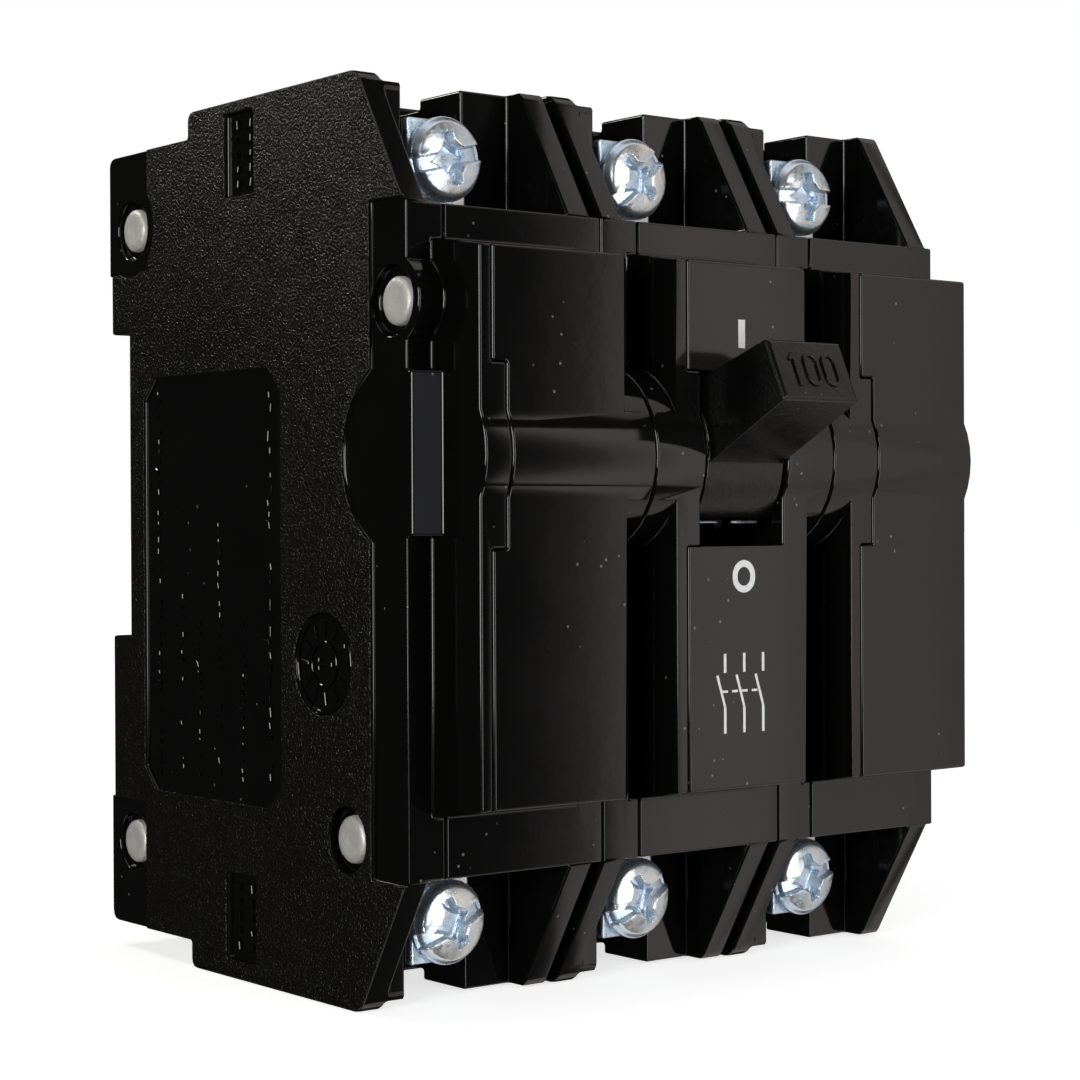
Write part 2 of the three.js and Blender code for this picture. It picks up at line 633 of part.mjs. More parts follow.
POLES.forEach((x, index) => {
  const pole = index + 1;
  const { cover, base } = poleCase(index);
  add(`pole_${pole}_base`, base, moulding(), x);
  add(`pole_${pole}_cover`, cover, moulding(), x);
  add(`line_terminal_${pole}`, lineTerminal(), tinned(), x);
  add(`load_terminal_${pole}`, loadTerminal(), tinned(), x);
  add(`line_clamp_${pole}`, clampPlate(SCREW_Z), zinc(), x);
  add(`load_clamp_${pole}`, clampPlate(-SCREW_Z), zinc(), x);
  add(`line_screw_${pole}`, terminalScrew(SCREW_Z), zinc(), x);
  add(`load_screw_${pole}`, terminalScrew(-SCREW_Z), zinc(), x);
  add(`arc_chute_${pole}`, arcChute(), steel(), x);
  add(`contact_arm_${pole}`, contactArm(), copper(), x, armGroup);
  add(`toggle_link_${pole}`, toggleLink(), steel(), x);
  add(`bimetal_${pole}`, bimetal(), steel(), x);
  add(`magnet_yoke_${pole}`, magnetYoke(), steel(), x);
  add(`armature_${pole}`, armature(), steel(), x);
  add(`braid_${pole}`, braid(), copper(), x);
  add(`main_spring_${pole}`, mainSpring(), steel(), x);
  add(`rail_clip_${pole}`, railClip(), clipPlastic(), x);
});

add('handle_lever', handleLever(), handleBlack(), 0, handleGroup);
add('cross_bar', crossBar(), handleBlack(), 0, handleGroup);
add('trip_bar', tripBar(), handleBlack());
RIVETS.forEach((place, i) => add(`case_rivet_${i + 1}`, rivet(place), rivetSteel()));

export default breaker;
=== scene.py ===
"""Three-pole circuit breaker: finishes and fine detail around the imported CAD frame."""

import json
import math
import random

import bmesh
import bpy
from mathutils import Euler, Matrix, Vector


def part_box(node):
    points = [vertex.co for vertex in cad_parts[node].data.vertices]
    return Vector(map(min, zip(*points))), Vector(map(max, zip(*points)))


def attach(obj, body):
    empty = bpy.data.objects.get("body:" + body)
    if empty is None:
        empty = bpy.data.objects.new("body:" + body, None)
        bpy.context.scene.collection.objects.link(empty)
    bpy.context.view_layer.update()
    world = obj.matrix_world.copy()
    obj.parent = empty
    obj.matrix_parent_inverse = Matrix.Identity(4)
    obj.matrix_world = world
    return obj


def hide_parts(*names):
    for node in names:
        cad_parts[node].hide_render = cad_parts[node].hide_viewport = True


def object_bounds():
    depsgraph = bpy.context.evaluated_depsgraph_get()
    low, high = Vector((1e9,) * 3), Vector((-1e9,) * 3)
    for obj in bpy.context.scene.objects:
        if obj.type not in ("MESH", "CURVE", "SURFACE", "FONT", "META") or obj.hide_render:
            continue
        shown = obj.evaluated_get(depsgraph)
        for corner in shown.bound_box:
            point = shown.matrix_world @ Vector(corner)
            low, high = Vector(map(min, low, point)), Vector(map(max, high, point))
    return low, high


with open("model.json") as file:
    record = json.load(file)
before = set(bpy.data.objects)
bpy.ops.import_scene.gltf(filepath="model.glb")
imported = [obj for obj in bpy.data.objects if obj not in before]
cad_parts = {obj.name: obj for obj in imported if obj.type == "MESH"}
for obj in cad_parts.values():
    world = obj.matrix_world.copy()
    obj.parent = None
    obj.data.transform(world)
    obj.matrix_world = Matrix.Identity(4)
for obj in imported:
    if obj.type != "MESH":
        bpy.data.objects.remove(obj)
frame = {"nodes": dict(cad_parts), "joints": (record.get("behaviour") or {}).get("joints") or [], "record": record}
CAD_LOW, CAD_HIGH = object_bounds()
MM = 0.001

# ---------------------------------------------------------------- places, from the frame
POLES = (1, 2, 3)
# the case frame: x = 0 on the middle pole, y = 0 on the rear tabs, z = 0 at mid height
CASE = Vector((0.0, CAD_HIGH.y, (CAD_LOW.z + CAD_HIGH.z) / 2))
HANDLE_JOINT = next(j for j in frame["joints"] if j["name"] == "handle_tilt")
HANDLE_AXIS = Vector(HANDLE_JOINT["pos_m"])
HANDLE_TILT = math.radians(24)      # the paddle's rise in the ON position
PADDLE_HALF = 3.4 * MM              # half height of the paddle's end face
# millimetres in the case frame
NOSE_Y = -69.0                      # front of the poles
SHOULDER_Y = -61.0                  # front of the body between the noses
SUNK_X = 37.65                      # floor of the sunk fields on the outer sides
GRAIN_X = 37.88                     # the grained skin of the outer sides lies outside this
X_AXIS, Y_AXIS, Z_AXIS = Vector((1, 0, 0)), Vector((0, 1, 0)), Vector((0, 0, 1))


def at(x, y, z):
    """A point given in millimetres in the case frame."""
    return CASE + Vector((x, y, z)) * MM


# ---------------------------------------------------------------- mesh helpers
WELD = 2e-6                         # corners nearer than this many metres are one
FACET = math.radians(0.5)           # faces that turn less than this count as one flat face
CORNER_TOLERANCE = 0.05             # millimetres
SHARP = math.radians(28)            # edges that turn more than this are rounded
ROOM_SHARE = 0.42                   # share of the shortest edge near a bevel that it may take


def placed_object(name, data):
    obj = bpy.data.objects.new(name, data)
    bpy.context.scene.collection.objects.link(obj)
    return obj


def mesh_object(name, bm):
    mesh = bpy.data.meshes.new(name)
    bm.to_mesh(mesh)
    bm.free()
    return placed_object(name, mesh)


def piece(name, bm, body, material, smooth=True):
    """A visible piece that rides on a body and takes the material it is given."""
    obj = mesh_object(name, bm)
    obj.data.materials.append(material)
    for polygon in obj.data.polygons:
        polygon.use_smooth = smooth
    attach(obj, body)
    return obj


def welded(node):
    """The CAD node's shape with shared corners and whole flat faces."""
    bm = bmesh.new()
    bm.from_mesh(frame["nodes"][node].data)
    bmesh.ops.remove_doubles(bm, verts=bm.verts, dist=WELD)
    bmesh.ops.dissolve_limit(bm, angle_limit=FACET, verts=bm.verts, edges=bm.edges)
    return bm


def is_front_corner(edge):
    """The upright edge between a sunk side strip and the shoulder."""
    near = CORNER_TOLERANCE * MM
    shoulder = at(0, SHOULDER_Y, 0).y
    return all(
        abs(abs(v.co.x) - SUNK_X * MM) < near and abs(v.co.y - shoulder) < near
        for v in edge.verts
    )


def weigh_edges(bm, width, widest):
    """Marks each sharp edge with the share of the widest bevel that it gets and has room for."""
    layer = bm.edges.layers.float.new("bevel_weight_edge")
    corners = {e for e in bm.edges if len(e.link_faces) == 2 and e.calc_face_angle(0) > SHARP}
    for edge in corners:
        near = [
            other.calc_length()
            for vert in edge.verts
            for other in vert.link_edges
            if other is not edge and other in corners
        ]
        room = min(near + [edge.calc_length()]) * ROOM_SHARE
        wanted = widest if is_front_corner(edge) else width
        edge[layer] = min(wanted, room) / widest


def add_bevel(obj, width, segments):
    """Rounds the weighed edges and keeps the flat faces flat."""
    bevel = obj.modifiers.new("edges", "BEVEL")
    bevel.width = width
    bevel.segments = segments
    bevel.limit_method = "WEIGHT"
    bevel.use_clamp_overlap = False
    bevel.miter_outer = "MITER_ARC"
    bevel.harden_normals = False
    normals = obj.modifiers.new("normals", "WEIGHTED_NORMAL")
    normals.keep_sharp = True
    normals.weight = 100


def refined(node, name, body, material, width, segments=2, widest=None):
    """A piece that stands for a CAD node, with its edges rounded."""
    widest = widest or width
    bm = welded(node)
    weigh_edges(bm, width, widest)
    obj = piece(name, bm, body, material)
    add_bevel(obj, widest, segments)
    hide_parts(node)
    return obj


def add_sharp_edges(obj, degrees):
    """Keeps edges steeper than this crisp under smooth shading."""
    bm = bmesh.new()
    bm.from_mesh(obj.data)
    for edge in bm.edges:
        if len(edge.link_faces) == 2:
            edge.smooth = edge.calc_face_angle(0) < math.radians(degrees)
    bm.to_mesh(obj.data)
    bm.free()


def add_soft_edges(obj, width, segments=2):
    """Rounds every edge of a small raised mark."""
    bevel = obj.modifiers.new("edges", "BEVEL")
    bevel.width = width
    bevel.segments = segments
    bevel.limit_method = "ANGLE"
    bevel.angle_limit = math.radians(40)


def turns(count, start=0.0):
    """Angles spread evenly round a circle."""
    return [2 * math.pi * (k + start) / count for k in range(count)]


def add_ring(bm, points):
    return [bm.verts.new(p) for p in points]


def bridge(bm, inner, outer):
    """Quads between two rings with the same number of corners."""
    count = len(inner)
    for i in range(count):
        j = (i + 1) % count
        bm.faces.new((inner[i], inner[j], outer[j], outer[i]))


def fan(bm, tip, ring):
    """Triangles from a tip to a ring."""
    for i, corner in enumerate(ring):
        bm.faces.new((tip, corner, ring[(i + 1) % len(ring)]))


# ---------------------------------------------------------------- material helpers
class Look:
    """One node material with a Principled shader and short helpers."""

    def __init__(self, name, color, roughness, metallic=0.0):
        self.material = bpy.data.materials.new(name)
        self.material.use_nodes = True
        self.nodes = self.material.node_tree.nodes
        self.links = self.material.node_tree.links
        self.shader = self.nodes["Principled BSDF"]
        self.shader.inputs["Base Color"].default_value = (*color, 1)
        self.shader.inputs["Roughness"].default_value = roughness
        self.shader.inputs["Metallic"].default_value = metallic
        self.coords = self.nodes.new("ShaderNodeTexCoord").outputs["Object"]

    def noise(self, scale, detail=3.0, roughness=0.55, stretch=None):
        node = self.nodes.new("ShaderNodeTexNoise")
        node.inputs["Scale"].default_value = scale
        node.inputs["Detail"].default_value = detail
        node.inputs["Roughness"].default_value = roughness
        source = self.coords
        if stretch:
            mapping = self.nodes.new("ShaderNodeMapping")
            mapping.inputs["Scale"].default_value = stretch
            self.links.new(self.coords, mapping.inputs["Vector"])
            source = mapping.outputs["Vector"]
        self.links.new(source, node.inputs["Vector"])
        return node.outputs["Fac"]

    def cells(self, scale):
        node = self.nodes.new("ShaderNodeTexVoronoi")
        node.inputs["Scale"].default_value = scale
        self.links.new(self.coords, node.inputs["Vector"])
        return node.outputs["Distance"]

    def ramp(self, value, low, high, out_low=0.0, out_high=1.0):
        node = self.nodes.new("ShaderNodeMapRange")
        node.inputs["From Min"].default_value = low
        node.inputs["From Max"].default_value = high
        node.inputs["To Min"].default_value = out_low
        node.inputs["To Max"].default_value = out_high
        self.links.new(value, node.inputs["Value"])
        return node.outputs["Result"]

    def vary(self, noise, low, high):
        """Spreads a noise's middle range over low to high."""
        return self.ramp(noise, 0.3, 0.7, low, high)

    def feed(self, socket, value):
        """Links an output to a socket, or sets the socket to a number or a colour."""
        if isinstance(value, (int, float)):
            socket.default_value = value
        elif isinstance(value, tuple):
            socket.default_value = (*value, 1)
        else:
            self.links.new(value, socket)

    def math(self, operation, a, b):
        node = self.nodes.new("ShaderNodeMath")
        node.operation = operation
        self.feed(node.inputs[0], a)
        self.feed(node.inputs[1], b)
        return node.outputs["Value"]

    def mix(self, factor, a, b, kind="RGBA"):
        """Between two colours by a factor."""
        node = self.nodes.new("ShaderNodeMix")
        node.data_type = kind
        for name, value in (("Factor", factor), ("A", a), ("B", b)):
            self.feed(node.inputs[name], value)
        return node.outputs["Result"]

    def blend(self, factor, a, b):
        """Between two numbers by a factor."""
        return self.mix(factor, a, b, "FLOAT")

    def color(self, value):
        self.links.new(value, self.shader.inputs["Base Color"])

    def rough(self, value):
        self.links.new(value, self.shader.inputs["Roughness"])

    def bump(self, height, distance, strength=1.0):
        node = self.nodes.new("ShaderNodeBump")
        node.inputs["Distance"].default_value = distance
        node.inputs["Strength"].default_value = strength
        self.links.new(height, node.inputs["Height"])
        self.links.new(node.outputs["Normal"], self.shader.inputs["Normal"])

    def split(self):
        node = self.nodes.new("ShaderNodeSeparateXYZ")
        self.links.new(self.coords, node.inputs["Vector"])
        return node.outputs


def dust_mask(look, scale, share):
    """1 on a few specks of dust, 0 elsewhere; a larger share is more specks."""
    speck = look.ramp(look.cells(scale), 0.10, 0.06)
    chosen = look.ramp(look.noise(90, 1.0), 0.62 - share, 0.66 - share)
    return look.math("MULTIPLY", speck, chosen)


def moulding_look():
    """Satin black moulding: polished on the front, spark-grained on the two outer sides."""
    look = Look("moulding", (0.009, 0.0085, 0.008), 0.3)
    x = look.split()["X"]
    outer = look.ramp(look.math("ABSOLUTE", x, 0), GRAIN_X * MM, (GRAIN_X + 0.08) * MM)
    mottled = look.noise(140, 4.0)
    smooth_color = look.mix(mottled, (0.0025, 0.0023, 0.0022), (0.0041, 0.0038, 0.0036))
    grain_color = look.mix(mottled, (0.0034, 0.0030, 0.0022), (0.0052, 0.0047, 0.0036))
    base = look.mix(outer, smooth_color, grain_color)
    dust = look.math("MULTIPLY", dust_mask(look, 520, 0.07), look.blend(outer, 1.0, 0.15))
    look.color(look.mix(dust, base, (0.16, 0.155, 0.15)))
    smooth_rough = look.vary(look.noise(60, 5.0), 0.07, 0.11)
    look.rough(look.blend(outer, smooth_rough, 0.31))
    grain = look.noise(3500, 1.5, 0.6)
    ripple = look.math("MULTIPLY", look.noise(300, 3.0), 0.02)
    look.bump(look.blend(outer, ripple, grain), 0.00030)
    return look.material


def handle_look():
    """Black handle plastic, a little duller than the case."""
    black = (0.0024, 0.0022, 0.0021)
    look = Look("handle_black", black, 0.28)
    look.rough(look.vary(look.noise(300, 5.0), 0.22, 0.32))
    look.color(look.mix(dust_mask(look, 700, 0.04), black, (0.12, 0.12, 0.115)))
    look.bump(look.noise(2200, 3.0), 0.00003)
    return look.material


def zinc_look():
    """Bright zinc plate with a faint blue and straw tint, bluer in the screws' recesses."""
    look = Look("zinc", (0.78, 0.80, 0.82), 0.25, 0.82)
    tint = look.mix(
        look.ramp(look.noise(420, 3.0), 0.35, 0.65),
        (0.62, 0.72, 0.82),
        (0.86, 0.84, 0.80),
    )
    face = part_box("line_screw_1")[0].y
    sunk = look.ramp(look.split()["Y"], face + 0.7 * MM, face + 1.2 * MM)
    shaded = look.mix(look.noise(900, 2.0), (0.60, 0.68, 0.86), (0.66, 0.80, 0.87))
    look.color(look.mix(sunk, tint, shaded))
    look.rough(look.vary(look.noise(1500, 4.0), 0.22, 0.40))
    look.bump(look.noise(1100, 4.0), 0.00005)
    return look.material


def rivet_look():
    """Matte, nearly white plating on the formed heads."""
    look = Look("rivet_steel", (0.84, 0.83, 0.80), 0.45, 0.45)
    look.color(look.mix(look.noise(900, 4.0), (0.70, 0.69, 0.66), (0.92, 0.91, 0.88)))
    look.rough(look.vary(look.noise(2000, 3.0), 0.40, 0.60))
    look.bump(look.noise(1600, 4.0), 0.00008)
    return look.material


ROLLED = (1, 1, 0.1)                # stretches a metal's noise into lines along Z


def metal_look(name, dark, light, rough, stretch=(1, 1, 1)):
    """Bare metal with a faint unevenness, or drawing lines where it is stretched."""
    look = Look(name, dark, rough, 1.0)
    lines = look.noise(2500, 3.0, 0.6, stretch)
    look.color(look.mix(lines, dark, light))
    look.rough(look.vary(lines, rough - 0.07, rough + 0.10))
    look.bump(lines, 0.00002)
    return look.material


def clip_look():
    """Dull black plastic of the rail clips."""
    look = Look("clip_plastic", (0.016, 0.016, 0.016), 0.5)
    look.color(look.mix(look.noise(200, 3.0), (0.012, 0.012, 0.012), (0.022, 0.022, 0.021)))
    look.rough(look.vary(look.noise(700, 3.0), 0.44, 0.58))
    look.bump(look.noise(2600, 2.0), 0.00004)
    return look.material


def print_look():
    """White pad-printed ink."""
    look = Look("print_white", (0.93, 0.93, 0.93), 0.5)
    look.color(look.mix(look.noise(1800, 3.0), (0.86, 0.86, 0.86), (0.98, 0.98, 0.98)))
    look.bump(look.noise(4000, 2.0), 0.00001)
    return look.material


MATERIALS = {
    "moulding": moulding_look(),
    "handle_black": handle_look(),
    "zinc": zinc_look(),
    "rivet_steel": rivet_look(),
    "tinned_strap": metal_look("tinned_strap", (0.62, 0.61, 0.58), (0.80, 0.79, 0.76), 0.32, ROLLED),
    "copper": metal_look("copper", (0.62, 0.30, 0.17), (0.80, 0.45, 0.28), 0.30, ROLLED),
    "sheet_steel": metal_look("sheet_steel", (0.38, 0.39, 0.40), (0.56, 0.57, 0.58), 0.36, ROLLED),
    "spring_steel": metal_look("spring_steel", (0.32, 0.32, 0.33), (0.50, 0.50, 0.51), 0.30),
    "clip_plastic": clip_look(),
}
PRINT = print_look()
# near-black steel for the toggle links: painted shade, so the links seen through the handle slot stay as dark as
# the shade inside it
STEEL_PAINTED_SLOT_SHADE = metal_look("steel_painted_slot_shade", (0.012, 0.012, 0.013), (0.022, 0.022, 0.023), 0.5)

# finishes of the CAD nodes; the refined pieces below stand for some of them
SLOT_OF = {row["node"]: row["material_slot"] for row in frame["record"]["subparts"]}
for node_name, node in frame["nodes"].items():
    node.data.materials.clear()
    # the toggle links get the painted slot shade in place of their own finish
    dark = node_name.startswith("toggle_link_")
    node.data.materials.append(STEEL_PAINTED_SLOT_SHADE if dark else MATERIALS[SLOT_OF[node_name]])


# ---------------------------------------------------------------- case, clamps and clips
BODY_OF = {
    name: body
    for body, names in frame["record"]["behaviour"]["bodies"].items()
    for name in names
}
EDGE = {                            # rounding of each kind of node, millimetres
    "pole_{}_base": 0.28,
    "pole_{}_cover": 0.28,
    "line_clamp_{}": 0.25,
    "load_clamp_{}": 0.25,
    "line_terminal_{}": 0.3,
    "load_terminal_{}": 0.3,
    "rail_clip_{}": 0.3,
}
CORNER = 0.9                        # rounding of the case's front corners
for pole in POLES:
    for pattern, width in EDGE.items():
        node_name = pattern.format(pole)
        slot = SLOT_OF[node_name]
        cased = node_name.startswith("pole_")
        refined(
            node_name,
            node_name + "_shell",
            BODY_OF[node_name],
            MATERIALS[slot],
            width * MM,
            3 if cased else 2,
            CORNER * MM if cased else None,
        )


# ---------------------------------------------------------------- handle
HANDLE_BLACK = MATERIALS["handle_black"]
refined("handle_lever", "handle_body", "handle", HANDLE_BLACK, 0.45 * MM, 3)


# ---------------------------------------------------------------- rivets
RIVET_R = 1.6
RIVET_HEAD_R = 2.5
RIVET_HEAD_H = 0.85
# a domed disc with a rolled edge and a shallow dimple: shares of its radius and height
DIMPLE = 0.80
DOME = ((0.30, 0.84), (0.62, 1.0), (0.86, 0.93), (0.97, 0.62), (1.0, 0.0))


def rivet_head(bm, centre, outward):
    """One formed head, its face towards outward."""
    turn = Z_AXIS.rotation_difference(outward).to_matrix()
    rings = []
    for across, up in DOME:
        r, h = across * RIVET_HEAD_R * MM, up * RIVET_HEAD_H * MM
        rings.append(add_ring(bm, [
            centre + turn @ Vector((r * math.cos(a), r * math.sin(a), h)) for a in turns(48)]))
    tip = bm.verts.new(centre + turn @ Vector((0, 0, DIMPLE * RIVET_HEAD_H * MM)))
    fan(bm, tip, rings[0])
    for inner, outer in zip(rings, rings[1:]):
        bridge(bm, inner, outer)
    bm.faces.new(list(reversed(rings[-1])))


def rivet(index):
    """Two formed heads and the shank between them."""
    node_name = f"case_rivet_{index}"
    low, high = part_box(node_name)
    centre = (low + high) / 2
    head = RIVET_HEAD_H * MM
    bm = bmesh.new()
    for sign, x in ((-1, low.x), (1, high.x)):
        rivet_head(bm, Vector((x - sign * head, centre.y, centre.z)), X_AXIS * sign)
    shank = Matrix.Translation(centre) @ Matrix.Rotation(math.pi / 2, 4, "Y")
    bmesh.ops.create_cone(
        bm, cap_ends=True, segments=24, radius1=RIVET_R * MM, radius2=RIVET_R * MM,
        depth=high.x - low.x - 2 * head, matrix=shank)
    bmesh.ops.recalc_face_normals(bm, faces=bm.faces)
    obj = piece(f"rivet_{index}", bm, "root", MATERIALS["rivet_steel"])
    add_sharp_edges(obj, 40)
    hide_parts(node_name)


for index in range(1, 5):
    rivet(index)


# ---------------------------------------------------------------- terminal screws
HEAD_R = 4.4
HEAD_H = 2.3
HEAD_LOWEST = 0.45                  # the rim and the recess don't go below this
CROWN = 0.045                       # fall of the dome over the radius squared
ROLL_FROM = 3.5                     # where the dome starts to roll over
ROLL = 0.75
SHANK_R = 2.4
TIP = 0.8
THREAD_PITCH = 0.8
THREAD_DEPTH = 0.24
# each wall is a pair: where it starts and where it ends
SLOT_DEPTH = 0.85
SLOT_WALL = (0.66, 0.84)
STAR_POWER = 0.8
STAR_REACH = 3.0
STAR_DEPTH = 1.7
STAR_WALL = (0.55, 1.0)
ARM_DEPTH = 1.15
ARM_WALL = (0.52, 0.74)
ARM_END = (2.5, 2.8)
BURR = 0.10                         # metal pushed up beside the slot
BURR_RISE = (0.6, 0.86)
BURR_FALL = (0.9, 1.5)
BURR_FROM = (2.4, 3.4)
SCREW_SIDES, SCREW_RINGS = 216, 56
SCREW_TURNS = {                     # how each slot stands, degrees anticlockwise from level
    "line_screw_1": 14, "line_screw_2": 42, "line_screw_3": 1,
    "load_screw_1": 23, "load_screw_2": 26, "load_screw_3": 15,
}


def smoothstep(low, high, value):
    t = min(1.0, max(0.0, (value - low) / (high - low)))
    return t * t * (3 - 2 * t)


def head_height(x, z):
    """Height of the head over its seat at a place on its face: a dome with a slot and a star."""
    r, across, along = math.hypot(x, z), abs(x), abs(z)
    dome = HEAD_H - CROWN * r * r - ROLL * smoothstep(ROLL_FROM, HEAD_R, r) ** 2
    slot = SLOT_DEPTH * (1 - smoothstep(*SLOT_WALL, along))
    star = (across ** STAR_POWER + along ** STAR_POWER) ** (1 / STAR_POWER) / STAR_REACH
    cross = STAR_DEPTH * (1 - smoothstep(*STAR_WALL, star))
    arm = ARM_DEPTH * (1 - smoothstep(*ARM_WALL, across)) * (1 - smoothstep(*ARM_END, along))
    ridge = smoothstep(*BURR_RISE, along) - smoothstep(*BURR_FALL, along)
    burr = BURR * ridge * smoothstep(*BURR_FROM, r)
    return max(HEAD_LOWEST, dome - max(slot, cross, arm) + burr)


def thread_radius(depth, angle):
    """Radius of the shank at a depth under the seat: a V thread that climbs as it turns."""
    phase = (depth / THREAD_PITCH + angle / (2 * math.pi)) % 1.0
    return SHANK_R - THREAD_DEPTH * (1 - abs(2 * phase - 1))


def terminal_screw(node_name, degrees):
    """The head's face, its seat and the threaded shank, as rings from the front to the tip."""
    low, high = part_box(node_name)
    seat_y = low.y + HEAD_H * MM
    centre = Vector(((low.x + high.x) / 2, seat_y, (low.z + high.z) / 2))
    spin = Matrix.Rotation(math.radians(degrees), 2)
    angles = turns(SCREW_SIDES)

    def place(x, z, height):
        """A place on the screw: height runs out of the face, towards -Y."""
        spun = spin @ Vector((x, z))
        return centre + Vector((spun.x, -height, spun.y)) * MM

    bm = bmesh.new()
    rings = []
    for k in range(1, SCREW_RINGS + 1):
        r = HEAD_R * k / SCREW_RINGS
        flat = [(r * math.cos(a), r * math.sin(a)) for a in angles]
        rings.append(add_ring(bm, [place(x, z, head_height(x, z)) for x, z in flat]))
    for r, h in ((HEAD_R, 0.12), (HEAD_R - 0.12, 0.0), (SHANK_R, 0.0)):
        rings.append(add_ring(bm, [place(r * math.cos(a), r * math.sin(a), h) for a in angles]))
    long = (high.y - seat_y) / MM
    steps = int((long - TIP) / (THREAD_PITCH / 4))
    for k in range(1, steps + 1):
        depth = (long - TIP) * k / steps
        radii = [thread_radius(depth, a) for a in angles]
        rings.append(add_ring(bm, [
            place(r * math.cos(a), r * math.sin(a), -depth) for r, a in zip(radii, angles)]))
    for inner, outer in zip(rings, rings[1:]):
        bridge(bm, inner, outer)
    fan(bm, bm.verts.new(place(0, 0, head_height(0, 0))), rings[0])
    fan(bm, bm.verts.new(place(0, 0, -long)), rings[-1])
    bmesh.ops.recalc_face_normals(bm, faces=bm.faces)
    obj = piece(node_name + "_head", bm, BODY_OF[node_name], MATERIALS["zinc"])
    add_sharp_edges(obj, 50)
    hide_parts(node_name)


for node_name, degrees in SCREW_TURNS.items():
    terminal_screw(node_name, degrees)


# ---------------------------------------------------------------- marks
BURY = 0.15                         # how far a mark's foot goes into the part


class Face:
    """A flat place for marks: an origin, two directions on it and the one out of it."""

    def __init__(self, origin, u, v, n):
        self.origin, self.u, self.v, self.n = origin, u, v, n

    def ring(self, bm, outline, lift):
        """Corners of an outline in millimetres along u and v, lifted along n."""
        return add_ring(bm, [
            self.origin + (self.u * a + self.v * b + self.n * lift) * MM for a, b in outline])

    def slab(self, bm, outline, thickness, bury=BURY):
        """A raised flat shape."""
        top = self.ring(bm, outline, thickness)
        foot = self.ring(bm, outline, -bury)
        bm.faces.new(top)
        bm.faces.new(list(reversed(foot)))
        bridge(bm, foot, top)

    def ring_slab(self, bm, outer, inner, thickness, bury=BURY):
        """A raised ring between two outlines with the same number of points."""
        loops = [
            self.ring(bm, outline, lift)
            for outline, lift in ((outer, thickness), (outer, -bury), (inner, -bury), (inner, thickness))
        ]
        for first, second in zip(loops, loops[1:] + loops[:1]):
            bridge(bm, first, second)


def rectangle(x0, x1, y0, y1):
    return [(x0, y0), (x1, y0), (x1, y1), (x0, y1)]


def circle(r):
    return [(r * math.cos(a), r * math.sin(a)) for a in turns(48)]


def stadium(cx, cy, half_w, half_h, corners=40):
    """Half circles over and under two straight sides."""
    straight = half_h - half_w
    return [
        (
            cx + half_w * math.cos(a),
            cy + math.copysign(straight, math.sin(a)) + half_w * math.sin(a),
        )
        for a in turns(corners, 0.5)
    ]


def rating_number():
    """The raised number on the end of the handle."""
    n = Vector((0, -math.cos(HANDLE_TILT), math.sin(HANDLE_TILT)))
    v = Vector((0, math.sin(HANDLE_TILT), math.cos(HANDLE_TILT)))
    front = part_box("handle_lever")[0].y
    reach = (HANDLE_AXIS.y - front - PADDLE_HALF * math.sin(HANDLE_TILT)) / math.cos(HANDLE_TILT)
    face = Face(HANDLE_AXIS + n * reach, X_AXIS, v, n)
    tall, half_wide, stroke, raised = 1.9, 1.05, 0.42, 0.22
    one = [
        (-2.65, -tall), (-2.15, -tall), (-2.15, tall), (-2.5, tall),
        (-3.15, 1.25), (-2.95, 0.9), (-2.65, 1.15),
    ]
    bm = bmesh.new()
    face.slab(bm, one, raised)
    for cx in (-0.15, 2.45):
        outer = stadium(cx, 0, half_wide, tall)
        inner = stadium(cx, 0, half_wide - stroke, tall - stroke)
        face.ring_slab(bm, outer, inner, raised)
    bmesh.ops.recalc_face_normals(bm, faces=bm.faces)
    obj = piece("handle_number", bm, "handle", HANDLE_BLACK, smooth=False)
    add_soft_edges(obj, 0.07 * MM)


def printed_marks():
    """I and O beside the handle, and a plain three-pole wiring symbol below them."""
    ink = 0.03
    middle = 0.13
    face = Face(at(0, NOSE_Y, 0), X_AXIS, Z_AXIS, -Y_AXIS)
    bm = bmesh.new()
    face.slab(bm, rectangle(-0.55, 0.4, 20.2, 23.2), ink, ink)
    outer = stadium(middle, -3.9, 1.6, 1.72, 48)
    inner = stadium(middle, -3.9, 0.92, 1.0, 48)
    face.ring_slab(bm, outer, inner, ink, ink)
    line = 0.17                     # half width of a line
    hinge, knife = -17.6, -14.2     # foot and tip of each open blade
    for x in (middle - 2.73, middle, middle + 2.73):
        face.slab(bm, rectangle(x - line, x + line, -14.0, -12.0), ink, ink)
        face.slab(bm, rectangle(x - line, x + line, -20.4, hinge), ink, ink)
        blade = [
            (x - line, hinge), (x + line, hinge - 0.1), (x - 0.95, knife), (x - 1.25, knife - 0.1)]
        face.slab(bm, blade, ink, ink)
    for k in range(4):
        x = middle - 2.73 + k * 1.4
        face.slab(bm, rectangle(x - 0.4, x + 0.4, -16.1, -15.85), ink, ink)
    bmesh.ops.recalc_face_normals(bm, faces=bm.faces)
    piece("printed_marks", bm, "root", PRINT, smooth=False)


DIAL_AT = (-46.1, -12.7)            # y, z
DIAL_RINGS = ((5.15, 4.85), (2.45, 2.15))
DIAL_SPOKE = [(2.9, -0.16), (4.3, -0.42), (4.5, 0.0), (4.3, 0.42), (2.9, 0.16)]
DIAL_ARROW = [
    (-1.5, -0.25), (0.9, -0.25), (0.9, -0.7), (1.7, 0), (0.9, 0.7), (0.9, 0.25), (-1.5, 0.25)]
LABEL_ROWS = (                      # y, half width, top, bottom
    (-11.4, 0.5, 17.0, -27.0), (-16.6, 0.42, -6.0, -26.0), (-20.4, 0.42, -9.0, -26.0),
    (-24.6, 0.5, 2.0, -26.0), (-29.6, 0.42, -8.0, -26.5), (-35.0, 0.85, 16.0, -26.0),
)
END_MARKS_AT = ((-30.0, 42.0), (-29.7, -41.0))
END_MARKS_DEEPER = 0.2


